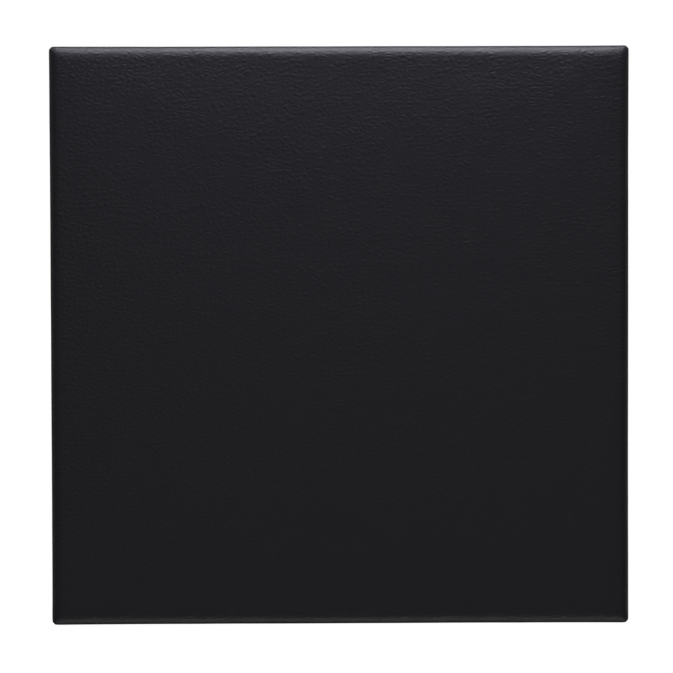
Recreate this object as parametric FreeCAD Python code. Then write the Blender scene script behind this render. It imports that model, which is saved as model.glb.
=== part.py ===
"""Wall punch pad: a square foam pad in a leather-look cover, on a plywood board that hooks onto a wall rail.

Millimetres. +X is to the right, +Y goes into the wall and +Z is up. The wall's surface is the plane y = 0,
so everything lies at negative y. The origin is the middle of the wall rail's back face, level with its holes.
"""
import FreeCAD, Part
import math
import os
from FreeCAD import Vector

# ---- driving dimensions ----
PAD_SIZE = 400.0            # width and height over the cover
PAD_CENTRE_Z = -120.0       # the pad's centre hangs this far below the wall rail's holes

COVER_THICK = 1.1
COVER_SLACK = 0.3           # between the cover and what it wraps
COVER_ROLL = 6.5            # outside radius of the rolled front edges
FLANGE_WIDTH = 28.0         # cover folded over the board's back

STRIKE_THICK = 15.0         # dense layer that takes the blow
STRIKE_GAP = 0.3            # between the strike layer and the soft foam behind it
IMPACT_THICK = 24.7         # soft foam
BASE_THICK = 15.0           # firm bonded foam on the board
BOARD_THICK = 15.0
BOARD_CORNER = 4.0          # radius of the board's four corners, under the cover's corner seams
BOARD_ROUND = 1.5           # on the board's outer back edges

RAIL_THICK = 2.0            # wall of both Z-shaped rails
RAIL_GAP = 0.2              # running gap between the hooked rails
RAIL_EDGE_ROUND = 0.3
WALL_RAIL_LENGTH = 290.0
WALL_FLANGE_BOTTOM = -14.0
SHOULDER_TOP = 9.0          # the wall rail's shoulder, where the pad's rail comes to rest
LIP_HEIGHT = 12.0           # how far the wall rail's lip stands above that shoulder
SEAT_GAP = 0.1              # left under the pad rail's lip
PAD_FLANGE_TOP = 44.0

STOP_CLEARANCE = 1.5        # sideways play between a rail end stop and the wall rail
STOP_WIDTH = 10.0
STOP_EDGE_ROUND = 0.5
STOP_SCREW_Z = 15.0
STOP_SCREW_RADIUS = 1.6
STOP_SCREW_LENGTH = 14.5
STOP_HEAD_RADIUS = 3.4
STOP_HEAD_DEPTH = 1.75
STOP_HEAD_SUNK = 0.08       # below the rail's lip, which leaves the cone just clear of its countersink
STOP_CROSS_SPAN = 3.8       # the crossed slots in the screw's head

WALL_HOLE_RADIUS = 2.75
WALL_HOLE_XS = (-120.0, -40.0, 40.0, 120.0)

BOLT_XS = (-125.0, -45.0, 45.0, 125.0)
BOLT_Z = 34.0
BOLT_RADIUS = 2.5
BOLT_HOLE_RADIUS = 2.75
BOLT_LENGTH = 14.0
BOLT_HEAD_RADIUS = 4.75
BOLT_HEAD_HEIGHT = 2.75
BOLT_HEAD_ROUND = 1.7
HEX_ACROSS_FLATS = 3.0
HEX_DEPTH = 1.5
WASHER_RADIUS = 5.0
WASHER_THICK = 1.0

TEE_BORE_RADIUS = 2.55
TEE_BARREL_RADIUS = 3.2
TEE_BARREL_LENGTH = 9.0
TEE_FLANGE_RADIUS = 8.5
TEE_FLANGE_THICK = 1.2
TEE_HOLE_RADIUS = 3.25
TEE_POCKET_RADIUS = 9.0
TEE_POCKET_DEPTH = 1.4

VENT_RADIUS = 5.0
VENT_OFFSET = 70.0          # the four outer vents' offset from the pad's centre

BUMPER_RADIUS = 15.0
BUMPER_TIP_RADIUS = 13.0
BUMPER_ROUND = 1.2
BUMPER_OFFSET = 150.0       # left, right and below the pad's centre
BUMPER_POCKET_RADIUS = 5.2
BUMPER_POCKET_DEPTH = 3.2
BUMPER_SCREW_RADIUS = 1.9
BUMPER_SCREW_LENGTH = 14.5
BUMPER_HEAD_RADIUS = 4.0
BUMPER_HEAD_HEIGHT = 2.4
BUMPER_HEAD_ROUND = 1.2
BUMPER_CROSS_SPAN = 4.4

CROSS_WIDTH = 1.0
CROSS_DEPTH = 1.1

SCREW_FIT = 0.05            # between a screw's shank and the wood or rubber around it
CUT_PAST = 1.0              # how far a cutter runs on past the surface that it opens
SAME_PLACE = 1e-6           # measures this close count as equal

STAPLES_PER_SIDE = 9
STAPLE_PITCH = 42.0
STAPLE_INSET = 18.0         # from the pad's outer edge to the row of staples
STAPLE_CROWN = 10.0
STAPLE_WIDTH = 1.2
STAPLE_THICK = 0.6
STAPLE_LEG = 8.0

# ---- stations measured out from the wall ----
STAND_OFF = 3 * (RAIL_THICK + RAIL_GAP)
BOARD_BACK = -STAND_OFF
BOARD_FRONT = BOARD_BACK - BOARD_THICK
BASE_FRONT = BOARD_FRONT - BASE_THICK
IMPACT_FRONT = BASE_FRONT - IMPACT_THICK
STRIKE_BACK = IMPACT_FRONT - STRIKE_GAP
STRIKE_FRONT = STRIKE_BACK - STRIKE_THICK
COVER_INSIDE = STRIKE_FRONT - COVER_SLACK
COVER_FRONT = COVER_INSIDE - COVER_THICK
FLANGE_BACK = BOARD_BACK + COVER_THICK

HALF = PAD_SIZE / 2
HALF_INSIDE = HALF - COVER_THICK
HALF_CORE = HALF_INSIDE - COVER_SLACK
INSIDE_ROLL = COVER_ROLL - COVER_THICK
CORE_ROLL = INSIDE_ROLL - COVER_SLACK

# the hooked rails, as layers from the wall: pad rail's lip, wall rail's lip, pad rail's flange
PAD_LIP_BACK = -RAIL_GAP
PAD_LIP_FRONT = PAD_LIP_BACK - RAIL_THICK
WALL_LIP_BACK = PAD_LIP_FRONT - RAIL_GAP
WALL_LIP_FRONT = WALL_LIP_BACK - RAIL_THICK
PAD_FLANGE_BACK = BOARD_BACK + RAIL_THICK
WALL_LIP_TOP = SHOULDER_TOP + LIP_HEIGHT
PAD_LIP_BOTTOM = SHOULDER_TOP + SEAT_GAP
PAD_SHOULDER_BOTTOM = WALL_LIP_TOP + RAIL_GAP
PAD_SHOULDER_TOP = PAD_SHOULDER_BOTTOM + RAIL_THICK
STOP_INSIDE = WALL_RAIL_LENGTH / 2 + STOP_CLEARANCE
PAD_RAIL_HALF = STOP_INSIDE + STOP_WIDTH
STOP_SCREW_X = STOP_INSIDE + STOP_WIDTH / 2

INTO_WALL = Vector(0, 1, 0)
OUT_OF_WALL = Vector(0, -1, 0)


# ---- helpers ----
def block(x, y, z):
    """A box from three (low, high) pairs."""
    corner = Vector(x[0], y[0], z[0])
    return Part.makeBox(x[1] - x[0], y[1] - y[0], z[1] - z[0], corner)


def square_slab(half, back, front):
    """A square slab about the pad's centre, from its back plane to its front plane."""
    return block((-half, half), (front, back), (PAD_CENTRE_Z - half, PAD_CENTRE_Z + half))


def edges_on_plane(shape, y):
    """The edges that lie wholly in the plane at this y."""
    return [e for e in shape.Edges if all(abs(v.Y - y) < SAME_PLACE for v in e.Vertexes)]


def rolled_slab(half, back, front, roll):
    """A square slab whose four front edges are rolled."""
    slab = square_slab(half, back, front)
    return slab.makeFillet(roll, edges_on_plane(slab, front))


def rod(radius, x, z, y, length, direction=OUT_OF_WALL):
    """A round bar across the pad's thickness, starting at y."""
    return Part.makeCylinder(radius, length, Vector(x, y, z), direction)


def extrude_rail(points, half_length):
    """A rail: a closed outline of (y, z) points, pulled along X, with its long edges eased."""
    corners = [Vector(-half_length, y, z) for y, z in points]
    outline = Part.makePolygon(corners + corners[:1])
    rail = Part.Face(outline).extrude(Vector(2 * half_length, 0, 0))
    long_edges = [e for e in rail.Edges if e.Length > half_length]
    return rail.makeFillet(RAIL_EDGE_ROUND, long_edges)


def tidy(shape):
    """Joins faces that lie in one surface, and drops leftover edges."""
    return shape.removeSplitter()


def save(name, shapes):
    """Writes one STEP file: a single solid, or a group of separate ones."""
    group = shapes if isinstance(shapes, list) else [shapes]
    solids = [solid for shape in group for solid in shape.Solids]
    result = solids[0] if len(solids) == 1 else Part.makeCompound(solids)
    assert result.isValid(), name
    result.exportStep("parts/" + name + ".step")
    box = result.BoundBox
    size = f"{box.XLength:.1f} x {box.YLength:.1f} x {box.ZLength:.1f} mm"
    print(f"{name:20} {len(solids):2} solids {result.Volume / 1000:9.2f} cm3, {size}")


# ---- soft stack and cover ----
def cover():
    """One sheet: face, four sides and the flange stapled to the board's back."""
    outside = rolled_slab(HALF, FLANGE_BACK, COVER_FRONT, COVER_ROLL)
    cavity = rolled_slab(HALF_INSIDE, BOARD_BACK, COVER_INSIDE, INSIDE_ROLL)
    opening = square_slab(HALF - FLANGE_WIDTH, FLANGE_BACK + CUT_PAST, BOARD_BACK - CUT_PAST)
    return outside.cut(cavity).cut(opening)


def strike_layer():
    return rolled_slab(HALF_CORE, STRIKE_BACK, STRIKE_FRONT, CORE_ROLL)


def impact_foam():
    return square_slab(HALF_CORE, BASE_FRONT, IMPACT_FRONT)


def base_foam():
    return square_slab(HALF_CORE, BOARD_FRONT, BASE_FRONT)


# ---- backing board ----
def vent_places():
    """(x, z) of the vents that let air out of the foam: one in the middle and four around it."""
    around = [(sx * VENT_OFFSET, PAD_CENTRE_Z + sz * VENT_OFFSET) for sx in (-1, 1) for sz in (-1, 1)]
    return [(0.0, PAD_CENTRE_Z)] + around


def bumper_places():
    return [(side * BUMPER_OFFSET, PAD_CENTRE_Z - BUMPER_OFFSET) for side in (-1, 1)]


def stop_screw_places():
    return [(side * STOP_SCREW_X, STOP_SCREW_Z) for side in (-1, 1)]


def backing_board():
    board = square_slab(HALF_CORE, BOARD_BACK, BOARD_FRONT)
    thick_edges = [e for e in board.Edges if abs(e.Length - BOARD_THICK) < SAME_PLACE]
    board = board.makeFillet(BOARD_CORNER, thick_edges)
    board = board.makeFillet(BOARD_ROUND, edges_on_plane(board, BOARD_BACK))
    cuts = [rod(VENT_RADIUS, x, z, BOARD_BACK, BOARD_THICK) for x, z in vent_places()]
    for x in BOLT_XS:
        cuts.append(rod(TEE_HOLE_RADIUS, x, BOLT_Z, BOARD_BACK, BOARD_THICK))
        cuts.append(rod(TEE_POCKET_RADIUS, x, BOLT_Z, BOARD_FRONT, TEE_POCKET_DEPTH, INTO_WALL))
    for x, z in stop_screw_places():
        cuts.append(rod(STOP_SCREW_RADIUS + SCREW_FIT, x, z, 0, STOP_SCREW_LENGTH + CUT_PAST))
    pilot = BUMPER_SCREW_RADIUS + SCREW_FIT
    for x, z in bumper_places():
        cuts.append(rod(pilot, x, z, -BUMPER_POCKET_DEPTH, BUMPER_SCREW_LENGTH + CUT_PAST))
    return board.cut(cuts)


# ---- rails ----
def wall_rail():
    """Z-shaped rail screwed to the wall, with its lip pointing up."""
    outline = [
        (0, WALL_FLANGE_BOTTOM), (0, SHOULDER_TOP),
        (WALL_LIP_BACK, SHOULDER_TOP), (WALL_LIP_BACK, WALL_LIP_TOP),
        (WALL_LIP_FRONT, WALL_LIP_TOP), (WALL_LIP_FRONT, SHOULDER_TOP - RAIL_THICK),
        (-RAIL_THICK, SHOULDER_TOP - RAIL_THICK), (-RAIL_THICK, WALL_FLANGE_BOTTOM),
    ]
    rail = extrude_rail(outline, WALL_RAIL_LENGTH / 2)
    through = RAIL_THICK + 2 * CUT_PAST
    return rail.cut([rod(WALL_HOLE_RADIUS, x, 0, CUT_PAST, through) for x in WALL_HOLE_XS])


def pad_rail():
    """The same rail turned over on the board's back. Its lip points down, behind the wall rail's lip."""
    outline = [
        (PAD_LIP_BACK, PAD_LIP_BOTTOM), (PAD_LIP_BACK, PAD_SHOULDER_TOP),
        (PAD_FLANGE_BACK, PAD_SHOULDER_TOP), (PAD_FLANGE_BACK, PAD_FLANGE_TOP),
        (BOARD_BACK, PAD_FLANGE_TOP), (BOARD_BACK, PAD_SHOULDER_BOTTOM),
        (PAD_LIP_FRONT, PAD_SHOULDER_BOTTOM), (PAD_LIP_FRONT, PAD_LIP_BOTTOM),
    ]
    rail = extrude_rail(outline, PAD_RAIL_HALF)
    behind = PAD_FLANGE_BACK + CUT_PAST
    through = RAIL_THICK + 2 * CUT_PAST
    cuts = [rod(BOLT_HOLE_RADIUS, x, BOLT_Z, behind, through) for x in BOLT_XS]
    cuts += [stop_screw_cutter(x, z, 2 * SCREW_FIT) for x, z in stop_screw_places()]
    return rail.cut(cuts)


def rail_end_stop(side):
    """Nylon block that fills the end of the pad rail's slot, so the pad can't creep sideways."""
    near, far = sorted((side * STOP_INSIDE, side * PAD_RAIL_HALF))
    stop = block((near, far), (BOARD_BACK, PAD_LIP_FRONT), (PAD_LIP_BOTTOM, PAD_SHOULDER_BOTTOM))
    stop = stop.makeFillet(STOP_EDGE_ROUND, stop.Edges)
    hole = rod(STOP_SCREW_RADIUS + SCREW_FIT, side * STOP_SCREW_X, STOP_SCREW_Z, 0, STAND_OFF + CUT_PAST)
    return stop.cut(hole)


# ---- fasteners ----
def hex_socket(x, z, y):
    """Cutter for a hexagon socket that opens towards the wall at y."""
    corner_radius = HEX_ACROSS_FLATS / 2 / math.cos(math.radians(30))
    across = Vector(corner_radius, 0, 0)
    turn = FreeCAD.Rotation(Vector(0, 1, 0), 60)
    points = [across]
    for _ in range(6):
        points.append(turn.multVec(points[-1]))
    outline = Part.makePolygon([Vector(x, y, z) + p for p in points])
    return Part.Face(outline).extrude(OUT_OF_WALL * HEX_DEPTH)


def cross_recess(x, z, y, span):
    """Cutter for the crossed slots of a screw head whose top is at y."""
    deep = (y - CROSS_DEPTH, y + CUT_PAST)
    long, short = span / 2, CROSS_WIDTH / 2
    level = block((x - long, x + long), deep, (z - short, z + short))
    upright = block((x - short, x + short), deep, (z - long, z + long))
    return level.fuse(upright)


def domed_head(radius, height, rounding, x, z, under):
    """A screw head that stands towards the wall from its underside, with a rounded rim."""
    head = rod(radius, x, z, under, height, INTO_WALL)
    return head.makeFillet(rounding, edges_on_plane(head, under + height))


def rail_screw(x):
    under = PAD_FLANGE_BACK + WASHER_THICK
    head = domed_head(BOLT_HEAD_RADIUS, BOLT_HEAD_HEIGHT, BOLT_HEAD_ROUND, x, BOLT_Z, under)
    head = head.cut(hex_socket(x, BOLT_Z, under + BOLT_HEAD_HEIGHT))
    shank = rod(BOLT_RADIUS, x, BOLT_Z, under, BOLT_LENGTH)
    return tidy(head.fuse(shank))


def rail_washer(x):
    disc = rod(WASHER_RADIUS, x, BOLT_Z, PAD_FLANGE_BACK, WASHER_THICK, INTO_WALL)
    return disc.cut(rod(BOLT_HOLE_RADIUS, x, BOLT_Z, PAD_FLANGE_BACK, WASHER_THICK, INTO_WALL))


def t_nut(x):
    """Threaded insert in the board's front, its flange flush in a shallow pocket."""
    seat = BOARD_FRONT + TEE_POCKET_DEPTH
    flange = rod(TEE_FLANGE_RADIUS, x, BOLT_Z, seat, TEE_FLANGE_THICK)
    barrel = rod(TEE_BARREL_RADIUS, x, BOLT_Z, seat, TEE_BARREL_LENGTH, INTO_WALL)
    bore_length = TEE_FLANGE_THICK + TEE_BARREL_LENGTH
    bore = rod(TEE_BORE_RADIUS, x, BOLT_Z, seat - TEE_FLANGE_THICK, bore_length, INTO_WALL)
    return tidy(flange.fuse(barrel)).cut(bore)


def countersunk(x, z, grow, top, head_radius, head_depth, shank_radius, length):
    """A countersunk screw, or with grow above 0 the hole for it."""
    head, shank = head_radius + grow, shank_radius + grow
    cone = Part.makeCone(head, shank, head_depth, Vector(x, top, z), OUT_OF_WALL)
    return cone.fuse(rod(shank, x, z, top, length))


def stop_screw_cutter(x, z, grow):
    """The countersunk hole in the pad rail's lip."""
    return countersunk(x, z, grow, PAD_LIP_BACK, STOP_HEAD_RADIUS, STOP_HEAD_DEPTH, STOP_SCREW_RADIUS,
                       STAND_OFF)


def stop_screw(x, z):
    top = PAD_LIP_BACK - STOP_HEAD_SUNK
    screw = tidy(countersunk(x, z, 0, top, STOP_HEAD_RADIUS, STOP_HEAD_DEPTH, STOP_SCREW_RADIUS,
                             STOP_SCREW_LENGTH))
    return screw.cut(cross_recess(x, z, top, STOP_CROSS_SPAN))


def bumper(x, z):
    """Rubber foot that holds the pad's lower edge off the wall, level with the rails."""
    foot = Part.makeCone(BUMPER_RADIUS, BUMPER_TIP_RADIUS, STAND_OFF, Vector(x, BOARD_BACK, z), INTO_WALL)
    foot = foot.makeFillet(BUMPER_ROUND, edges_on_plane(foot, 0))
    pocket = rod(BUMPER_POCKET_RADIUS, x, z, 0, BUMPER_POCKET_DEPTH)
    hole = rod(BUMPER_SCREW_RADIUS + SCREW_FIT, x, z, 0, STAND_OFF)
    return foot.cut([pocket, hole])


def bumper_screw(x, z):
    under = -BUMPER_POCKET_DEPTH
    head = domed_head(BUMPER_HEAD_RADIUS, BUMPER_HEAD_HEIGHT, BUMPER_HEAD_ROUND, x, z, under)
    head = head.cut(cross_recess(x, z, under + BUMPER_HEAD_HEIGHT, BUMPER_CROSS_SPAN))
    return tidy(head.fuse(rod(BUMPER_SCREW_RADIUS, x, z, under, BUMPER_SCREW_LENGTH)))


def staple():
    """One staple at the origin: its crown lies along X on the plane y = 0, and its legs point to -Y."""
    half = STAPLE_CROWN / 2
    across = (-STAPLE_WIDTH / 2, STAPLE_WIDTH / 2)
    crown = block((-half, half), (0, STAPLE_THICK), across)
    left = block((-half, -half + STAPLE_THICK), (-STAPLE_LEG, 0), across)
    right = block((half - STAPLE_THICK, half), (-STAPLE_LEG, 0), across)
    return tidy(crown.fuse([left, right]))


def staples():
    """A row of staples along each side of the flange."""
    pattern = staple()
    middle = (STAPLES_PER_SIDE - 1) / 2
    row = HALF - STAPLE_INSET
    placed = []
    for quarter in range(4):
        turn = FreeCAD.Rotation(Vector(0, 1, 0), 90 * quarter)
        for i in range(STAPLES_PER_SIDE):
            offset = turn.multVec(Vector((i - middle) * STAPLE_PITCH, 0, row))
            place = offset + Vector(0, FLANGE_BACK, PAD_CENTRE_Z)
            copy = pattern.copy()
            copy.Placement = FreeCAD.Placement(place, turn)
            placed.append(copy)
    return placed


# ---- the model ----
os.makedirs("parts", exist_ok=True)
save("wall_rail", wall_rail())
save("pad_rail", pad_rail())
save("rail_end_stop_left", rail_end_stop(-1))
save("rail_end_stop_right", rail_end_stop(1))
save("stop_screws", [stop_screw(x, z) for x, z in stop_screw_places()])
save("rail_screws", [rail_screw(x) for x in BOLT_XS])
save("rail_washers", [rail_washer(x) for x in BOLT_XS])
save("t_nuts", [t_nut(x) for x in BOLT_XS])
save("backing_board", backing_board())
save("base_foam", base_foam())
save("impact_foam", impact_foam())
save("strike_layer", strike_layer())
save("cover", cover())
save("staples", staples())
for name, (x, z) in zip(("bumper_left", "bumper_right"), bumper_places()):
    save(name, bumper(x, z))
save("bumper_screws", [bumper_screw(x, z) for x, z in bumper_places()])
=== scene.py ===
import math

import bpy
import numpy as np
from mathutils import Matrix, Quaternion, Vector, noise


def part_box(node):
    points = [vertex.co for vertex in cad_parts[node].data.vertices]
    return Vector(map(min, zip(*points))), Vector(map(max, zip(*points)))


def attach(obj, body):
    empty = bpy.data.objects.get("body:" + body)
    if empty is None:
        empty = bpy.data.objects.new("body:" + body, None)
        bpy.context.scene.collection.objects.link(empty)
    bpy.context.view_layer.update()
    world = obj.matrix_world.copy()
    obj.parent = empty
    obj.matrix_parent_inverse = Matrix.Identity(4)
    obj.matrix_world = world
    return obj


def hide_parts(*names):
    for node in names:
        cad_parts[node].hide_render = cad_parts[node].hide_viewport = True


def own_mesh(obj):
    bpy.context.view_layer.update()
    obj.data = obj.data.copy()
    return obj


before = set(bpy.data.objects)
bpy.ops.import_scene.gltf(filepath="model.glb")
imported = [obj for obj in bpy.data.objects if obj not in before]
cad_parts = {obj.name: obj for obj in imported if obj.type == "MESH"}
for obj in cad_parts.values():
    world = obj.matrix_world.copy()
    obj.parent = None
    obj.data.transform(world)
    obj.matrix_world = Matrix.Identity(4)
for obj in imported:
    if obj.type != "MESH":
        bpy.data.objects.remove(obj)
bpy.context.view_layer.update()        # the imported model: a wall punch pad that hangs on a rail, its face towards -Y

# ---- sizes, in metres ----
MM = 0.001
LEATHER = 1.1 * MM          # thickness of the cover
SLACK = 0.3 * MM            # between the cover and what it wraps
ROLL_IN = 8.6 * MM          # how far the rolled edge reaches into the face
ROLL_DEEP = 7.0 * MM        # how far it reaches back along the side
ROLL_POWER = 2.2            # 2 is a plain ellipse; more keeps the roll closer to the edge
CORNER_SIDE = 3.0 * MM      # corner radius of the outline
CORNER_FACE = 8.0 * MM      # corner radius where the face turns flat
FOLD = 2.0 * MM             # radius where the cover turns onto the board's back
FACE_CAP = 1.6 * MM         # the most that pressure swells the face
SWELL_SHARE = 0.06          # of the free swelling that the foam lets through
SIDEWAYS_SHARE = 0.35       # of that, across the pad
PULL_IN = 0.35 * MM         # how far the foam's sides pull in between the corners
SEAM_DEEP = 0.45 * MM       # the sewn corners' groove
SEAM_WIDE = 0.6 * MM
STITCH_PITCH = 4.0 * MM
PUCKER = 0.16 * MM          # height of the small folds along the corner seams
PUCKER_REACH = 2.2 * MM     # over which they fade
GATHERS = 14                # folds in a full turn round a corner's top
PLEAT_WIDE = 6.0 * MM       # the flange's folded corners
PUFF = 0.35 * MM            # how far the leather stands up between the staples
PUFF_REACH = 9.0 * MM       # and how far from a staple it has risen
EDGE_WAVE = 0.7 * MM        # waviness of the flange's cut edge

STAPLES_PER_SIDE = 9
STAPLE_PITCH = 42.0 * MM
STAPLE_ROW = 18.0 * MM      # in from the outline
STAPLE_CROWN = 10.0 * MM

FLANGE_WIDE = 28.0 * MM     # the part of the cover that lies on the board's back
FOAM_EDGE = 1.5 * MM        # the inner foam layers' eased front edges
KNIFE_WAVE = 0.3 * MM       # unevenness of the foam's cut sides
PLIES = 11                  # in the backing board
SHARP = math.radians(50)    # edges that turn further than this are shaded crisp
TINY = 1e-9                 # keeps a length from being divided by as nought
SEED_STEP = Vector((7.1, 3.3, 5.7))     # moves a random pattern on, for each next seed

# the cloth's mesh: steps round a rolled edge, to the face's middle, along a side and across the flange
ROLL_STEPS = 6
FACE_STEPS = 30
SIDE_STEPS = 9
FLANGE_STEPS = 6
SLAB_STEPS = 5

# the cover as cloth, for the simulation
CLOTH = {
    "quality": 8,
    "mass": 0.4,
    "tension_stiffness": 60,
    "compression_stiffness": 60,
    "shear_stiffness": 30,
    "bending_stiffness": 4,
    "use_pressure": True,
    "uniform_pressure_force": 4.0,
}
CLOTH_FRAMES = 20

# the pad's own measures, from the frame
cover_low, cover_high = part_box("cover")
board_low, board_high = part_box("backing_board")
HALF = (cover_high.x - cover_low.x) / 2
MIDDLE_Z = (cover_high.z + cover_low.z) / 2
FRONT = cover_low.y
FLANGE_Y = cover_high.y
BOARD_FRONT = board_low.y
PLY = (board_high.y - BOARD_FRONT) / PLIES

# ---- leather ----
PEBBLE = 3.2 * MM
PEBBLE_DRAWN = 0.72         # under 1 draws the pebbles out across the pad
GRAIN_DEPTH = 0.24 * MM
LEATHER_COLOUR = (0.0082, 0.0079, 0.0122)
# painted shade: the grain's valleys are coloured darker than its tops
VALLEY_SHADE_COLOUR = (0.0068, 0.0066, 0.0100)
WORN_COLOUR = (0.0105, 0.0102, 0.0125)
LEATHER_ROUGH = 0.42
VALLEY_ROUGH = 0.52
LEATHER_GLOSS = 0.5

# ---- studio ----
SENSOR = 36.0
LENS = 155.3
VIEW_DISTANCE = 2.0
VIEW_TURN = -0.6            # degrees: round from straight in front, up, and about the view
VIEW_LIFT = 2.0
VIEW_ROLL = 0.17
AIM_ACROSS = -2.4 * MM      # where the camera looks, from the pad's middle
AIM_UP = -0.25 * MM
AMBIENT = 0.008
# radiances of the lights
OVERHEAD = 6.85
FRONT_FILL = 0.245
LOW_EDGE = 1.1
SIDE_FILL = 0.30
BACK_KEY = 4.5
BACK_FILL = 2.0
BACK_SHEEN = 0.4
SIDE_DISTANCE = 2.4         # of the side lights, and their height
SIDE_LEVEL = MIDDLE_Z + 0.2
OVERHEAD_TINT = (0.93, 0.90, 1.0)
FRONT_TINT = (0.96, 0.95, 1.0)
FLOOR_Z = MIDDLE_Z - 1.75   # well below the pad, which hangs on a wall
FLOOR_RADIUS = 7.0
FLOOR_SIDES = 96


# ---- mesh tools ----
def make_object(name, points, faces, materials):
    """A smooth-shaded mesh object in the row frame."""
    mesh = bpy.data.meshes.new(name)
    mesh.from_pydata([tuple(p) for p in points], [], faces)
    mesh.validate()
    mesh.update()
    for material in materials:
        mesh.materials.append(material)
    for face in mesh.polygons:
        face.use_smooth = True
    piece = bpy.data.objects.new(name, mesh)
    bpy.context.scene.collection.objects.link(piece)
    return piece


def read_points(mesh):
    """The mesh's points, one row each."""
    flat = np.empty(len(mesh.vertices) * 3, np.float32)
    mesh.vertices.foreach_get("co", flat)
    return flat.reshape(-1, 3).astype(float)


def write_points(mesh, points):
    mesh.vertices.foreach_set("co", points.astype(np.float32).ravel())
    mesh.update()


def bake_modifiers(piece):
    """Replaces the piece's mesh with the result of its modifiers."""
    graph = bpy.context.evaluated_depsgraph_get()
    graph.update()
    baked = bpy.data.meshes.new_from_object(piece.evaluated_get(graph), depsgraph=graph)
    old = piece.data
    piece.modifiers.clear()
    piece.data = baked
    bpy.data.meshes.remove(old)
    baked.name = piece.name


def subdivide(piece, levels):
    step = piece.modifiers.new("smooth", "SUBSURF")
    step.levels = levels
    step.render_levels = levels
    step.boundary_smooth = "PRESERVE_CORNERS"
    bake_modifiers(piece)


def ease(x):
    """0 up to 0, 1 from 1, smooth between."""
    t = np.clip(x, 0, 1)
    return t * t * (3 - 2 * t)


def wander(points, size, seed):
    """Smooth random values between about -1 and 1 that change over the given distance."""
    return np.array([noise.noise(Vector(p) / size + seed * SEED_STEP) for p in points])


# ---- the cover's shape ----
def roll_insets(reach):
    """Distances in from the outline of the mesh lines round a rolled edge."""
    turn = np.linspace(0, math.pi / 2, ROLL_STEPS + 1)
    return reach * (1 - np.cos(turn) ** (2 / ROLL_POWER))


def roll_depth(inset, reach, deep):
    """How far behind the face's plane the rolled edge lies at an inset."""
    outward = np.clip(1 - inset / reach, 0, 1)
    return deep * (1 - (1 - outward ** ROLL_POWER) ** (1 / ROLL_POWER))


def round_corners(across, up, half, radius):
    """Moves points on a square outline of this half width onto the same outline with round corners."""
    inner = half - radius
    near_x = np.clip(across, -inner, inner)
    near_z = np.clip(up, -inner, inner)
    off_x, off_z = across - near_x, up - near_z
    length = np.maximum(np.hypot(off_x, off_z), TINY)
    corner = (np.abs(off_x) > 0) & (np.abs(off_z) > 0)
    return (np.where(corner, near_x + off_x / length * radius, across),
            np.where(corner, near_z + off_z / length * radius, up))


def face_grid(half, reach, deep, front):
    """The rolled front face as a square grid: (points, faces, indices of its rim in order)."""
    insets = np.concatenate([roll_insets(reach), np.linspace(reach, half, FACE_STEPS + 1)[1:]])
    lines = np.concatenate([-(half - insets), (half - insets)[-2::-1]])
    count = len(lines)
    across, up = np.meshgrid(lines, lines, indexing="ij")
    reach_here = np.maximum(np.abs(across), np.abs(up))
    inset = half - reach_here
    radius = CORNER_SIDE + (CORNER_FACE - CORNER_SIDE) * ease(inset / reach)
    radius = np.minimum(radius, reach_here * 0.9)
    across, up = round_corners(across, up, reach_here, radius)
    depth = front + roll_depth(inset, reach, deep)
    points = np.stack([across, depth, MIDDLE_Z + up], axis=-1).reshape(-1, 3)
    index = np.arange(count * count).reshape(count, count)
    faces = [(index[i, j], index[i + 1, j], index[i + 1, j + 1], index[i, j + 1])
             for i in range(count - 1) for j in range(count - 1)]
    rim = np.concatenate([index[:-1, 0], index[-1, :-1], index[:0:-1, -1], index[0, :0:-1]])
    return points, [tuple(int(v) for v in f) for f in faces], rim


def add_ring(points, faces, previous, ring_points):
    """Joins one more closed row of points to the row before it. Returns the new row's indices."""
    start = len(points)
    ring = np.arange(start, start + len(ring_points))
    count = len(ring)
    for i in range(count):
        j = (i + 1) % count
        faces.append((int(previous[i]), int(ring[i]), int(ring[j]), int(previous[j])))
    points.extend(ring_points)
    return ring


def cover_rows():
    """(inset, y) of each row of the cover behind the rolled edge: side, fold and flange."""
    side = [(0.0, y) for y in np.linspace(FRONT + ROLL_DEEP, FLANGE_Y - FOLD, SIDE_STEPS + 1)[1:]]
    turns = np.radians([30, 60, 90])
    fold = [(FOLD * (1 - math.cos(t)), FLANGE_Y - FOLD + FOLD * math.sin(t)) for t in turns]
    flange = [(inset, FLANGE_Y) for inset in np.linspace(FOLD, FLANGE_WIDE, FLANGE_STEPS + 1)[1:]]
    return side + fold + flange


def cover_skin():
    """The outer surface of the cover, open at the back inside its flange."""
    grid, faces, rim = face_grid(HALF, ROLL_IN, ROLL_DEEP, FRONT)
    points = list(grid)
    outline = np.array([(points[i][0], points[i][2] - MIDDLE_Z) for i in rim])
    previous = rim
    for inset, y in cover_rows():
        share = (HALF - inset) / HALF
        ring = [(x * share, y, MIDDLE_Z + z * share) for x, z in outline]
        previous = add_ring(points, faces, previous, ring)
    return np.array(points), faces


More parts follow.
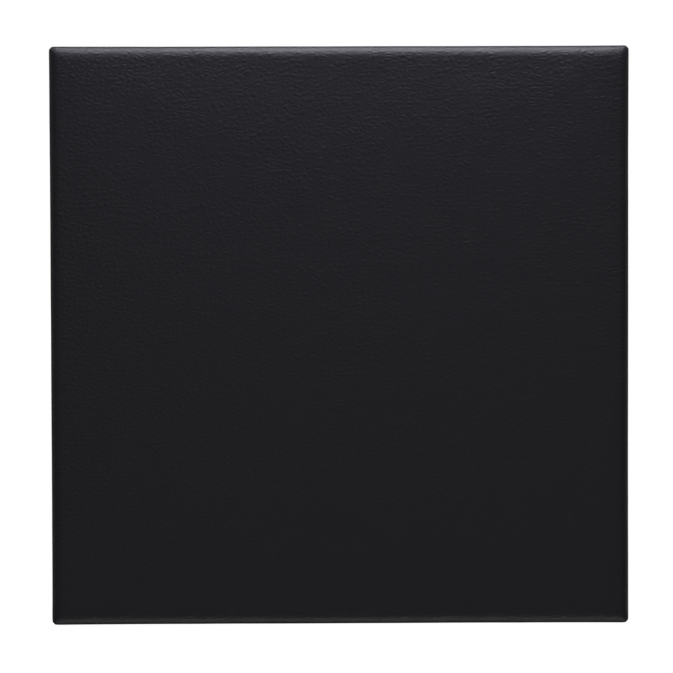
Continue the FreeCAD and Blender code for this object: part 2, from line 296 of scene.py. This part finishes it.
# ---- swelling, by cloth simulation ----
def swell(piece, held):
    """Lets air pressure swell the piece as cloth, held where the weight is 1. Returns the moves."""
    rest = read_points(piece.data)
    group = piece.vertex_groups.new(name="held")
    for index, weight in enumerate(held):
        group.add([index], float(weight), "REPLACE")
    cloth = piece.modifiers.new("cloth", "CLOTH")
    for name, value in CLOTH.items():
        setattr(cloth.settings, name, value)
    cloth.settings.vertex_group_mass = "held"
    cloth.settings.effector_weights.gravity = 0
    cloth.point_cache.frame_start = 1
    cloth.point_cache.frame_end = CLOTH_FRAMES
    scene = bpy.context.scene
    for number in range(1, CLOTH_FRAMES + 1):
        scene.frame_set(number)
    graph = bpy.context.evaluated_depsgraph_get()
    swollen = read_points(piece.evaluated_get(graph).data)
    piece.modifiers.clear()
    piece.vertex_groups.clear()
    scene.frame_set(1)
    return swollen - rest


def capped(moves, cap):
    """The moves with no length over the cap, easing towards it."""
    length = np.maximum(np.linalg.norm(moves, axis=1), TINY)
    return moves * (cap * np.tanh(length / cap) / length)[:, None]


def swollen_moves(piece):
    """How the foam inside moves the cover: the simulated swelling, held back to a firm pad's.
"""
    rest = read_points(piece.data)
    on_board = ease((rest[:, 1] - BOARD_FRONT) / (2 * MM))
    moves = swell(piece, on_board) * SWELL_SHARE
    moves[:, [0, 2]] *= SIDEWAYS_SHARE
    return capped(moves, FACE_CAP)


# ---- the cover's own details ----
def from_middle(points):
    """(across, up) from the pad's middle."""
    return points[:, 0], points[:, 2] - MIDDLE_Z


def sew_corners(points):
    """Pulls the four corners in along their seams, with small folds that fade away from each seam."""
    across, up = from_middle(points)
    inner = HALF - CORNER_SIDE
    off_x, off_z = np.abs(across) - inner, np.abs(up) - inner
    in_corner = (off_x > 0) & (off_z > 0)
    from_seam = np.arctan2(off_z, off_x) - math.pi / 4
    beside = np.where(in_corner, from_seam * CORNER_SIDE, HALF)
    inset = np.minimum(HALF - np.abs(across), HALF - np.abs(up))
    far = np.abs(np.abs(across) - np.abs(up)) / math.sqrt(2)
    behind_roll = ease((points[:, 1] - FRONT - 0.35 * ROLL_DEEP) / (0.6 * ROLL_DEEP))
    on_side = behind_roll * (inset < 0.6 * ROLL_IN) * (points[:, 1] < FLANGE_Y - 0.2 * FOLD)
    groove = SEAM_DEEP * np.exp(-(beside / SEAM_WIDE) ** 2)
    stitch = 0.4 + 0.6 * np.cos(2 * math.pi * points[:, 1] / STITCH_PITCH)
    fold = PUCKER * stitch * np.exp(-far / PUCKER_REACH) * (far > 0.2 * MM)
    inward = -(groove + fold) * on_side
    length = np.maximum(np.hypot(across, up), 1 * MM)
    moved = points.copy()
    moved[:, 0] += across / length * inward
    moved[:, 2] += up / length * inward
    return moved


def gather_corners(points):
    """Fine folds that fan out over the rolled edge from the top of each corner seam."""
    across, up = from_middle(points)
    seam_top = HALF - 0.8 * ROLL_IN
    off_x, off_z = np.abs(across) - seam_top, np.abs(up) - seam_top
    angle = np.arctan2(off_z, off_x)
    reach = np.hypot(off_x, off_z)
    where = ease((reach - 2 * MM) / (4 * MM)) * (off_x > 0) * (off_z > 0)
    where = where * ease((FRONT + 1.1 * ROLL_DEEP - points[:, 1]) / (0.5 * ROLL_DEEP))
    moved = points.copy()
    moved[:, 1] += 0.7 * PUCKER * np.cos(GATHERS * angle + 2 * np.sign(across * up)) * where
    return moved


def staple_distance(along, inset):
    """Distance on the flange to the nearest staple's crown."""
    middle = (STAPLES_PER_SIDE - 1) / 2
    nearest = np.clip(np.round(along / STAPLE_PITCH), -middle, middle) * STAPLE_PITCH
    sideways = np.maximum(np.abs(along - nearest) - STAPLE_CROWN / 2, 0)
    return np.hypot(sideways, inset - STAPLE_ROW)


def dress_flange(points):
    """Staple dimples, a folded pleat at each corner and a hand-cut edge, behind the board."""
    across, up = from_middle(points)
    reach = np.maximum(np.abs(across), np.abs(up))
    inset = HALF - reach
    on_flange = (points[:, 1] > FLANGE_Y - 0.1 * FOLD) & (inset > 0.5 * FOLD)
    along = np.where(np.abs(across) > np.abs(up), up, across)
    lift = PUFF * ease(staple_distance(along, inset) / PUFF_REACH)
    lift *= ease((inset - FOLD) / (6 * MM)) * ease((FLANGE_WIDE - inset) / (5 * MM))
    past = (np.abs(across) - np.abs(up)) / math.sqrt(2)
    pleat = np.where(past > 0.05 * MM, 1 - ease(past / PLEAT_WIDE), 0.0)
    lift += LEATHER * pleat * ease((inset - 0.5 * FOLD) / (2 * MM))
    edge = ease((inset - 0.6 * FLANGE_WIDE) / (0.4 * FLANGE_WIDE)) * on_flange
    wave = 1 + EDGE_WAVE * edge * wander(points, 35 * MM, 3) / np.maximum(reach, TINY)
    moved = points.copy()
    moved[:, 1] += lift * on_flange
    moved[:, 0] = across * wave
    moved[:, 2] = MIDDLE_Z + up * wave
    return moved


def thicken(piece, thickness):
    """Gives the skin its thickness, inward, with the second material inside and on the cut edge."""
    shell = piece.modifiers.new("thickness", "SOLIDIFY")
    shell.thickness = thickness
    shell.offset = -1
    shell.use_even_offset = True
    shell.material_offset = 1
    shell.material_offset_rim = 1
    bake_modifiers(piece)
    piece.data.set_sharp_from_angle(angle=SHARP)


def make_cover(materials):
    """The leather cover. Also returns how the face's grid points swelled, for the foam under it."""
    points, faces = cover_skin()
    piece = make_object("leather_cover", points, faces, materials)
    moves = swollen_moves(piece)
    write_points(piece.data, points + moves)
    subdivide(piece, 1)
    points = read_points(piece.data)
    points = dress_flange(gather_corners(sew_corners(points)))
    write_points(piece.data, points)
    thicken(piece, LEATHER)
    return piece, moves


# ---- foam layers ----
def slab_skin(half, front, back, reach, deep):
    """A closed square slab with a rolled front edge."""
    grid, faces, rim = face_grid(half, reach, deep, front)
    front_faces = list(faces)
    points = list(grid)
    outline = np.array([(points[i][0], points[i][2] - MIDDLE_Z) for i in rim])
    previous = rim
    for y in np.linspace(front + deep, back, SLAB_STEPS + 1)[1:]:
        ring = [(x, y, MIDDLE_Z + z) for x, z in outline]
        previous = add_ring(points, faces, previous, ring)
    behind = {int(a): int(b) for a, b in zip(rim, previous)}
    for index, (x, _, z) in enumerate(grid):
        if index not in behind:
            behind[index] = len(points)
            points.append((x, back, z))
    faces += [tuple(behind[corner] for corner in reversed(face)) for face in front_faces]
    return np.array(points), faces


def trim_sides(points, half, seed):
    """Foam sides as a knife leaves them: a little wavy, and pulled in between the corners."""
    across, up = from_middle(points)
    reach = np.maximum(np.abs(across), np.abs(up))
    near_side = ease((reach - half + 5 * MM) / (5 * MM))
    cut = KNIFE_WAVE * (0.5 + 0.5 * wander(points * np.array([1, 4, 1]), 30 * MM, seed)) * near_side
    moved = points.copy()
    moved[:, 0] = across * (1 - (PULL_IN * (1 - (up / half) ** 2) + cut) / half)
    moved[:, 2] = MIDDLE_Z + up * (1 - (PULL_IN * (1 - (across / half) ** 2) + cut) / half)
    return moved


def make_slab(name, node, material, body, reach, deep, crown, seed):
    """A foam layer that stands for one CAD node, and fills its space."""
    low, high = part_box(node)
    half = (high.x - low.x) / 2
    points, faces = slab_skin(half, low.y, high.y, reach, deep)
    points[:len(crown)] += crown
    points = trim_sides(points, half, seed)
    piece = make_object(name, points, faces, [material])
    piece.data.set_sharp_from_angle(angle=SHARP)
    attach(piece, body)
    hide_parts(node)
    return piece


# ---- materials ----
class Recipe:
    """One material's node tree. Lengths are in metres, in the object's own coordinates."""

    def __init__(self, name, **constants):
        self.material = bpy.data.materials.new(name)
        self.material.use_nodes = True
        self.tree = self.material.node_tree
        self.shader = self.tree.nodes["Principled BSDF"]
        for socket, value in constants.items():
            self.shader.inputs[socket.replace("_", " ")].default_value = value
        self.place = self.node("ShaderNodeTexCoord").outputs["Object"]

    def node(self, kind, **settings):
        made = self.tree.nodes.new(kind)
        for name, value in settings.items():
            setattr(made, name, value)
        return made

    def give(self, socket, value):
        """Links a node's output to a socket, or sets a plain value on it."""
        if isinstance(value, bpy.types.NodeSocket):
            self.tree.links.new(value, socket)
        else:
            socket.default_value = value

    def stretched(self, x, y, z):
        """The place, with each axis multiplied, so that a pattern is drawn out along an axis under 1."""
        node = self.node("ShaderNodeVectorMath", operation="MULTIPLY")
        self.give(node.inputs[0], self.place)
        node.inputs[1].default_value = (x, y, z)
        return node.outputs[0]

    def warped(self, size, amount, place=None):
        """The place, shifted here and there by up to about the amount."""
        clouds = self.node("ShaderNodeTexNoise")
        clouds.inputs["Scale"].default_value = 1 / size
        self.give(clouds.inputs["Vector"], place or self.place)
        shift = self.node("ShaderNodeVectorMath", operation="MULTIPLY_ADD")
        self.give(shift.inputs[0], clouds.outputs["Color"])
        shift.inputs[1].default_value = (2 * amount,) * 3
        shift.inputs[2].default_value = (-amount,) * 3
        total = self.node("ShaderNodeVectorMath", operation="ADD")
        self.give(total.inputs[0], place or self.place)
        self.give(total.inputs[1], shift.outputs[0])
        return total.outputs[0]

    def noise(self, size, place=None, detail=3.0, rough=0.5):
        node = self.node("ShaderNodeTexNoise")
        node.inputs["Scale"].default_value = 1 / size
        node.inputs["Detail"].default_value = detail
        node.inputs["Roughness"].default_value = rough
        self.give(node.inputs["Vector"], place or self.place)
        return node.outputs["Fac"]

    def cells(self, size, place=None, feature="F1"):
        """A cell pattern, with each cell's random colour and the distance to its middle or its edge."""
        node = self.node("ShaderNodeTexVoronoi", feature=feature)
        node.inputs["Scale"].default_value = 1 / size
        self.give(node.inputs["Vector"], place or self.place)
        return node

    def axis(self, letter, place=None):
        node = self.node("ShaderNodeSeparateXYZ")
        self.give(node.inputs[0], place or self.place)
        return node.outputs[letter]

    def maths(self, operation, first, second=0.0):
        node = self.node("ShaderNodeMath", operation=operation)
        self.give(node.inputs[0], first)
        self.give(node.inputs[1], second)
        return node.outputs[0]

    def plus(self, first, *others):
        total = first
        for other in others:
            total = self.maths("ADD", total, other)
        return total

    def times(self, first, second):
        return self.maths("MULTIPLY", first, second)

    def fit(self, value, low, high, to_low=0.0, to_high=1.0, smooth=False):
        """Maps the value's range low to high onto another range."""
        node = self.node("ShaderNodeMapRange", interpolation_type="SMOOTHSTEP" if smooth else "LINEAR")
        for socket, number in zip(node.inputs[:5], (value, low, high, to_low, to_high)):
            self.give(socket, number)
        return node.outputs[0]

    def blend(self, share, first, second, kind="MIX"):
        node = self.node("ShaderNodeMix", data_type="RGBA", blend_type=kind)
        self.give(node.inputs[0], share)
        for socket, colour in zip(node.inputs[6:8], (first, second)):
            self.give(socket, colour if isinstance(colour, bpy.types.NodeSocket) else (*colour, 1))
        return node.outputs[2]

    def ramp(self, value, stops, kind="LINEAR"):
        """A colour ramp from (place, colour) stops."""
        node = self.node("ShaderNodeValToRGB")
        node.color_ramp.interpolation = kind
        points = node.color_ramp.elements
        while len(points) < len(stops):
            points.new(1.0)
        for point, (where, colour) in zip(points, stops):
            point.position = where
            point.color = (*colour, 1)
        self.give(node.inputs[0], value)
        return node.outputs[0]

    def relief(self, height, depth, under=None):
        """Surface relief this deep where the height goes from 0 to 1."""
        node = self.node("ShaderNodeBump")
        node.inputs["Strength"].default_value = 1.0
        node.inputs["Distance"].default_value = depth
        self.give(node.inputs["Height"], height)
        if under is not None:
            self.give(node.inputs["Normal"], under)
        return node.outputs[0]

    def finished(self, colour, roughness, normal):
        self.give(self.shader.inputs["Base Color"], colour)
        self.give(self.shader.inputs["Roughness"], roughness)
        self.give(self.shader.inputs["Normal"], normal)
        return self.material


def leather():
    """Black PU leather with a soft pebble grain, whose valleys are coloured darker as painted shade."""
    r = Recipe("black_pu_leather", Specular_IOR_Level=LEATHER_GLOSS)
    drawn = r.stretched(PEBBLE_DRAWN, 1, 1)
    place = r.warped(5 * MM, 0.9 * MM, drawn)
    edge = r.cells(PEBBLE, place, "DISTANCE_TO_EDGE").outputs["Distance"]
    dome = r.fit(edge, 0.0, 0.42, smooth=True)
    pick = r.axis("X", r.cells(PEBBLE, place).outputs["Color"])
    fine_place = r.warped(2 * MM, 0.5 * MM, drawn)
    crease = r.cells(0.45 * PEBBLE, fine_place, "DISTANCE_TO_EDGE").outputs["Distance"]
    fine = r.fit(crease, 0.0, 0.3, smooth=True)
    broad = r.noise(14 * MM, detail=2)
    crinkle = r.fit(r.noise(0.8 * PEBBLE, drawn, detail=2), 0.3, 0.7)
    pebbles = r.times(dome, r.fit(pick, 0, 1, 0.65, 1.0))
    height = r.plus(r.times(pebbles, 0.8), r.times(crinkle, 0.25), r.times(fine, 0.15),
                    r.times(r.noise(0.5 * MM), 0.06))
    height = r.times(height, r.fit(broad, 0.3, 0.7, 0.88, 1.12))
    drape = r.relief(r.noise(22 * MM, detail=2), 0.35 * MM)
    normal = r.relief(height, GRAIN_DEPTH, drape)
    high = r.fit(height, 0.15, 0.9)
    # painted shade: darker where the grain lies low, in its valleys and creases
    colour = r.blend(high, VALLEY_SHADE_COLOUR, LEATHER_COLOUR)
    colour = r.blend(r.fit(broad, 0.35, 0.65, 0, 0.25), colour, WORN_COLOUR)
    patches = r.fit(r.noise(9 * MM), 0.3, 0.7, -0.04, 0.04)
    return r.finished(colour, r.plus(r.fit(high, 0, 1, VALLEY_ROUGH, LEATHER_ROUGH), patches), normal)


def knit_backing():
    """Grey knitted cloth that the leather's coating lies on, coloured darker where its loops sink, as painted shade.
    """
    r = Recipe("knit_backing", Specular_IOR_Level=0.2, Sheen_Weight=0.3, Sheen_Roughness=0.6)
    place = r.warped(6 * MM, 0.25 * MM)
    ribs = r.maths("SINE", r.times(r.axis("X", place), 2 * math.pi / (0.9 * MM)))
    rows = r.maths("SINE", r.times(r.axis("Z", place), 2 * math.pi / (0.7 * MM)))
    loops = r.fit(r.times(ribs, rows), -1, 1)
    fuzz = r.noise(0.25 * MM, detail=4, rough=0.7)
    height = r.plus(loops, r.times(fuzz, 0.6))
    # painted shade: the colour darkens where the knit lies low between its loops; the fuzz adds its own random tone
    stops = [(0.2, (0.10, 0.10, 0.105)), (0.8, (0.26, 0.255, 0.25)), (1.0, (0.36, 0.35, 0.34))]
    colour = r.ramp(height, stops)
    return r.finished(colour, r.fit(fuzz, 0, 1, 0.8, 0.95), r.relief(height, 0.18 * MM))


def foam(name, cell, colours, depth):
    """Open or closed cell foam, with pores in two sizes. Colours: painted shade down in the pores (also used as a
    darker tone for the knife marks), surface, aged parts.
    """
    r = Recipe(name, Specular_IOR_Level=0.25)
    pores = r.cells(cell, r.warped(3 * cell, 0.4 * cell), "SMOOTH_F1").outputs["Distance"]
    large = r.cells(3.1 * cell, feature="SMOOTH_F1").outputs["Distance"]
    height = r.plus(r.fit(pores, 0.15, 0.6), r.times(r.fit(large, 0.1, 0.4), 0.5))
    patches = r.noise(28 * MM, detail=4)
    skive = r.noise(1.4 * MM, r.stretched(0.04, 1, 0.04), detail=2)
    dark, light, aged = colours
    # painted shade: darker down in the pores, where the height is low
    colour = r.blend(r.fit(height, 0.1, 1.1), dark, light)
    colour = r.blend(r.fit(patches, 0.45, 0.75, 0, 0.7), colour, aged)
    colour = r.blend(r.fit(skive, 0.4, 0.7, 0, 0.25), colour, dark)
    roughness = r.fit(height, 0, 1.2, 0.95, 0.78)
    return r.finished(colour, roughness, r.relief(height, depth, r.relief(skive, 0.3 * MM)))


def bonded_chips():
    """Rebonded foam: pressed chips of many colours, with painted shade down in its pores."""
    r = Recipe("bonded_chip_foam", Specular_IOR_Level=0.2)
    place = r.warped(7 * MM, 2.2 * MM)
    chips = r.cells(8 * MM, place)
    pick = r.axis("X", chips.outputs["Color"])
    chip_colour = r.ramp(pick, [
        (0.00, (0.55, 0.50, 0.36)), (0.22, (0.10, 0.20, 0.38)), (0.36, (0.72, 0.70, 0.62)),
        (0.52, (0.12, 0.12, 0.13)), (0.66, (0.55, 0.33, 0.12)), (0.78, (0.20, 0.36, 0.20)),
        (0.88, (0.48, 0.14, 0.13)),
    ], "CONSTANT")
    edge = r.cells(8 * MM, place, "DISTANCE_TO_EDGE").outputs["Distance"]
    joint = r.fit(edge, 0.0, 0.09, smooth=True)
    pores = r.cells(0.8 * MM, feature="SMOOTH_F1").outputs["Distance"]
    colour = r.blend(joint, (0.09, 0.08, 0.07), chip_colour)
    # painted shade: near black down in the pores
    colour = r.blend(r.fit(pores, 0.1, 0.5, 0.5, 0), colour, (0.03, 0.03, 0.03))
    height = r.plus(joint, r.times(pores, 0.8))
    return r.finished(colour, r.fit(pores, 0, 0.6, 0.95, 0.8), r.relief(height, 0.5 * MM))


def birch_plywood():
    """Sanded birch plywood: rotary-cut face veneer, and plies where the board is cut through."""
    r = Recipe("birch_plywood", Specular_IOR_Level=0.35)
    drawn = r.stretched(1, 1, 0.11)
    waves = r.noise(75 * MM, r.warped(60 * MM, 9 * MM, drawn), detail=2)
    saw = r.maths("FRACT", r.times(waves, 17.0))
    rings = r.times(r.fit(saw, 0.0, 0.75, smooth=True), r.fit(saw, 1.0, 0.9, smooth=True))
    fibre = r.noise(0.8 * MM, r.stretched(1, 1, 0.03), detail=5, rough=0.68)
    pores = r.fit(r.noise(0.5 * MM, r.stretched(1, 1, 0.06), detail=1), 0.62, 0.70, smooth=True)
    patches = r.noise(90 * MM, detail=3)
    face = r.blend(rings, (0.72, 0.54, 0.345), (0.57, 0.385, 0.215))
    face = r.blend(r.fit(patches, 0.35, 0.7, 0, 0.4), face, (0.60, 0.41, 0.24))
    face = r.blend(r.fit(fibre, 0.40, 0.70, 0, 0.45), face, (0.44, 0.28, 0.145))
    face = r.blend(r.times(pores, 0.55), face, (0.25, 0.145, 0.07))
    depth = r.maths("DIVIDE", r.maths("SUBTRACT", r.axis("Y"), BOARD_FRONT), PLY)
    turn = r.maths("FRACT", r.times(depth, 0.5))
    along = r.fit(turn, 0.47, 0.53, smooth=True)
    glue = r.fit(r.maths("ABSOLUTE", r.maths("SUBTRACT", r.maths("FRACT", depth), 0.5)), 0.42, 0.5)
    end = r.noise(0.5 * MM, detail=3)
    ply = r.blend(along, (0.40, 0.26, 0.14), (0.63, 0.46, 0.28))
    ply = r.blend(r.fit(end, 0.4, 0.7, 0, 0.35), ply, (0.26, 0.16, 0.085))
    ply = r.blend(r.times(glue, 0.8), ply, (0.09, 0.045, 0.025))
    facing = r.maths("ABSOLUTE", r.axis("Y", r.node("ShaderNodeNewGeometry").outputs["Normal"]))
    colour = r.blend(r.fit(facing, 0.6, 0.9), ply, face)
    height = r.plus(r.times(fibre, 0.6), r.times(pores, -0.8))
    roughness = r.plus(r.fit(fibre, 0.2, 0.8, 0.62, 0.5), r.times(pores, 0.15))
    return r.finished(colour, roughness, r.relief(height, 0.06 * MM))


def metal(name, colours, roughness, streak, grain, depth, spangle):
    """Bare or plated metal: fine lines drawn along X, a cloudy tone and small marks.

    streak is how much the lines are drawn out, grain their pitch, spangle the size of the clouds."""
    r = Recipe(name, Metallic=1.0)
    lines = r.noise(grain, r.stretched(1 / streak, 1, 1), detail=5, rough=0.65)
    die = r.noise(6 * grain, r.stretched(0.2 / streak, 1, 1), detail=2)
    cloud = r.noise(spangle, detail=4, rough=0.55)
    scratched = r.warped(3 * MM, 2 * MM, r.stretched(0.15, 1, 0.6))
    marks = r.fit(r.noise(0.35 * MM, scratched, detail=1), 0.7, 0.76)
    dark, light = colours
    colour = r.blend(r.fit(lines, 0.3, 0.7), dark, light)
    colour = r.blend(r.fit(cloud, 0.4, 0.7, 0, 0.5), colour, dark)
    colour = r.blend(r.times(marks, 0.35), colour, tuple(0.45 * part for part in dark))
    low, high = roughness
    rough = r.plus(r.fit(lines, 0.25, 0.75, low, high), r.fit(cloud, 0.3, 0.7, -0.04, 0.05))
    height = r.plus(lines, r.times(die, 1.5), r.times(marks, -1.0))
    return r.finished(colour, rough, r.relief(height, depth))


def moulded(name, colours, roughness, texture, depth, dust):
    """Moulded rubber or nylon: an even fine texture, faint flow marks, and dust in random patches."""
    r = Recipe(name, Specular_IOR_Level=0.45)
    spark = r.cells(texture, feature="SMOOTH_F1").outputs["Distance"]
    flow = r.noise(7 * MM, r.warped(9 * MM, 3 * MM), detail=3)
    film = r.noise(3 * MM, detail=5, rough=0.7)
    dark, light = colours
    colour = r.blend(r.fit(flow, 0.35, 0.65), dark, light)
    colour = r.blend(r.fit(film, 0.5, 0.8, 0, dust), colour, (0.20, 0.19, 0.175))
    low, high = roughness
    rough = r.plus(r.fit(spark, 0.1, 0.6, low, high), r.fit(film, 0.4, 0.8, 0, 0.12))
    height = r.plus(spark, r.times(flow, 0.5))
    return r.finished(colour, rough, r.relief(height, depth))


def floor_material():
    """Pale and matt near the object, and glowing by its own emission, which rises with distance until it is as white
    as the backdrop further off.
    """
    r = Recipe("pale_floor", Specular_IOR_Level=0.2)
    speck = r.noise(4 * MM, detail=3)
    away = r.node("ShaderNodeVectorMath", operation="LENGTH")
    r.give(away.inputs[0], r.stretched(1, 1, 0))
    far = r.fit(away.outputs["Value"], 0.25 * FLOOR_RADIUS, 0.9 * FLOOR_RADIUS, smooth=True)
    colour = r.blend(r.fit(speck, 0.3, 0.7), (0.80, 0.80, 0.80), (0.84, 0.84, 0.84))
    # painted light: the floor glows by its own emission, 0.62 near the middle rising to 1.0 far off
    r.shader.inputs["Emission Color"].default_value = (1, 1, 1, 1)
    r.give(r.shader.inputs["Emission Strength"], r.fit(far, 0, 1, 0.62, 1.0))
    return r.finished(colour, r.fit(speck, 0, 1, 0.85, 0.95), r.relief(speck, 0.1 * MM))


def dress(material, *nodes):
    """Gives CAD nodes, whose shapes stay as they are, a finished material."""
    for node in nodes:
        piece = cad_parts[node]
        if not piece.material_slots:
            piece.data.materials.append(material)
        for slot in piece.material_slots:
            slot.material = material


def soft_pieces():
    """The cover and the three foam layers, in place of their plain CAD solids."""
    cover, moves = make_cover([leather(), knit_backing()])
    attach(cover, "pad")
    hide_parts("cover")
    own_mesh(cover)

    # the first colour of each foam is the painted shade down in its pores
    charcoal = (0.016, 0.016, 0.018), (0.045, 0.045, 0.048), (0.035, 0.034, 0.033)
    dense = foam("dense_strike_foam", cell=0.45 * MM, colours=charcoal, depth=0.12 * MM)
    face_points = len(face_grid(HALF, ROLL_IN, ROLL_DEEP, FRONT)[0])
    step_in = LEATHER + SLACK
    strike = make_slab("dense_strike_foam", "strike_layer", dense, "strike_face",
                       ROLL_IN - step_in, ROLL_DEEP - step_in, moves[:face_points], seed=11)

    straw = (0.36, 0.29, 0.16), (0.78, 0.70, 0.50), (0.66, 0.52, 0.27)
    cream = foam("soft_cream_foam", cell=0.9 * MM, colours=straw, depth=0.35 * MM)
    layers = (("soft_impact_foam", "impact_foam", cream, "soft_foam", 12),
              ("bonded_base_foam", "base_foam", bonded_chips(), "bonded_foam", 13))
    for name, node, material, slot, seed in layers:
        layer = make_slab(name, node, material, "pad", FOAM_EDGE, FOAM_EDGE, np.zeros((1, 3)), seed)
        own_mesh(layer)


def hard_pieces():
    """The CAD shapes, in their finished materials. Pairs run from dark to light or smooth to rough."""
    dress(birch_plywood(), "backing_board")
    aluminium = metal("mill_aluminium", colours=((0.60, 0.61, 0.63), (0.80, 0.81, 0.82)),
                      roughness=(0.26, 0.42), streak=60.0, grain=0.25 * MM, depth=0.012 * MM,
                      spangle=30 * MM)
    dress(aluminium, "wall_rail", "pad_rail")
    zinc = metal("zinc_plate", colours=((0.50, 0.52, 0.56), (0.74, 0.76, 0.79)),
                 roughness=(0.24, 0.40), streak=3.0, grain=0.3 * MM, depth=0.015 * MM,
                 spangle=2.5 * MM)
    dress(zinc, "rail_screws", "rail_washers", "stop_screws", "bumper_screws", "t_nuts")
    wire = metal("galvanised_wire", colours=((0.42, 0.43, 0.45), (0.70, 0.71, 0.73)),
                 roughness=(0.28, 0.45), streak=8.0, grain=0.12 * MM, depth=0.02 * MM,
                 spangle=1.5 * MM)
    dress(wire, "staples")
    nylon = moulded("black_nylon", colours=((0.011, 0.011, 0.012), (0.017, 0.017, 0.018)),
                    roughness=(0.36, 0.5), texture=0.3 * MM, depth=0.03 * MM, dust=0.05)
    dress(nylon, "rail_end_stop_left", "rail_end_stop_right")
    rubber = moulded("black_rubber", colours=((0.014, 0.014, 0.0145), (0.024, 0.0235, 0.023)),
                     roughness=(0.62, 0.8), texture=0.4 * MM, depth=0.05 * MM, dust=0.22)
    dress(rubber, "bumper_left", "bumper_right")


# ---- studio ----
def softbox(name, place, aim, size, brightness, colour=(1, 1, 1)):
    """A rectangular studio light. Brightness is its radiance."""
    lamp = bpy.data.lights.new(name, "AREA")
    lamp.shape = "RECTANGLE"
    lamp.size, lamp.size_y = size
    lamp.energy = brightness * math.pi * size[0] * size[1]
    lamp.color = colour
    holder = bpy.data.objects.new(name, lamp)
    bpy.context.scene.collection.objects.link(holder)
    holder.location = place
    holder.rotation_euler = (Vector(aim) - Vector(place)).to_track_quat("-Z", "Y").to_euler()
    holder.visible_camera = False
    return holder


def backdrop():
    """White wherever the camera sees past the object, and dim for every other ray."""
    scene = bpy.context.scene
    scene.view_settings.view_transform = "Standard"
    world = bpy.data.worlds.new("studio")
    scene.world = world
    world.use_nodes = True
    tree = world.node_tree
    seen = tree.nodes.new("ShaderNodeBackground")
    seen.inputs["Color"].default_value = (1, 1, 1, 1)
    around = tree.nodes["Background"]
    around.inputs["Color"].default_value = (AMBIENT, AMBIENT, AMBIENT, 1)
    ray = tree.nodes.new("ShaderNodeLightPath")
    choose = tree.nodes.new("ShaderNodeMixShader")
    tree.links.new(ray.outputs["Is Camera Ray"], choose.inputs[0])
    tree.links.new(around.outputs[0], choose.inputs[1])
    tree.links.new(seen.outputs[0], choose.inputs[2])
    tree.links.new(choose.outputs[0], tree.nodes["World Output"].inputs["Surface"])


def pale_floor():
    """A round floor that glows more further off, fading into the backdrop. It throws no light or shadow on the object.
    """
    turns = np.linspace(0, 2 * math.pi, FLOOR_SIDES, endpoint=False)
    rim = [(FLOOR_RADIUS * math.cos(t), FLOOR_RADIUS * math.sin(t), FLOOR_Z) for t in turns]
    floor = make_object("floor", rim, [tuple(range(FLOOR_SIDES))], [floor_material()])
    floor.visible_diffuse = False
    floor.visible_glossy = False
    floor.visible_shadow = False


def lights():
    """A soft key close above the face, a wide weak fill in front, and weak light on every other side."""
    face = (0, FRONT, MIDDLE_Z)
    middle = (0, 0, MIDDLE_Z)
    low_side = (0, 0, MIDDLE_Z - HALF)
    softbox("overhead", place=(0.03, -0.24, MIDDLE_Z + 0.85), aim=(0.03, -0.05, MIDDLE_Z),
            size=(0.75, 0.7), brightness=OVERHEAD, colour=OVERHEAD_TINT)
    softbox("front_fill", place=(0, -2.7, 0.05), aim=face,
            size=(8.4, 3.6), brightness=FRONT_FILL, colour=FRONT_TINT)
    softbox("low_edge", place=(0, -0.34, MIDDLE_Z - 1.0), aim=low_side,
            size=(1.6, 0.6), brightness=LOW_EDGE)
    for name, x in (("left_fill", -SIDE_DISTANCE), ("right_fill", SIDE_DISTANCE)):
        softbox(name, place=(x, 0.7, SIDE_LEVEL), aim=(0, 0.7, SIDE_LEVEL),
                size=(2.4, 2.6), brightness=SIDE_FILL)
    softbox("back_sheen", place=(1.5, 1.7, -0.55), aim=middle,
            size=(1.6, 1.4), brightness=BACK_SHEEN)
    back_key = softbox("back_key", place=(0.9, 2.2, 1.3), aim=middle,
                       size=(1.6, 1.2), brightness=BACK_KEY)
    back_fill = softbox("back_fill", place=(-1.6, 2.0, 0.2), aim=middle,
                        size=(1.4, 1.4), brightness=BACK_FILL)
    hardware = bpy.data.collections.new("hardware")
    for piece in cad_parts.values():
        if not piece.hide_render:
            hardware.objects.link(piece)
    for lamp in (back_key, back_fill):
        lamp.light_linking.receiver_collection = hardware      # so that they don't rim the cover


def camera():
    """Level with the pad's middle to within two degrees, and far enough off for nearly parallel edges."""
    eye = bpy.data.cameras.new("camera")
    eye.sensor_width = SENSOR
    eye.lens = LENS
    holder = bpy.data.objects.new("camera", eye)
    bpy.context.scene.collection.objects.link(holder)
    aim = Vector((AIM_ACROSS, FRONT, MIDDLE_Z + AIM_UP))
    turn, lift = math.radians(VIEW_TURN), math.radians(VIEW_LIFT)
    back = Vector((math.sin(turn) * math.cos(lift), -math.cos(turn) * math.cos(lift), math.sin(lift)))
    holder.location = aim + back * VIEW_DISTANCE
    look = (-back).to_track_quat("-Z", "Y")
    holder.rotation_euler = (look @ Quaternion((0, 0, 1), -math.radians(VIEW_ROLL))).to_euler()
    bpy.context.scene.camera = holder


# ---- the model ----
camera()
soft_pieces()
hard_pieces()
backdrop()
pale_floor()
lights()
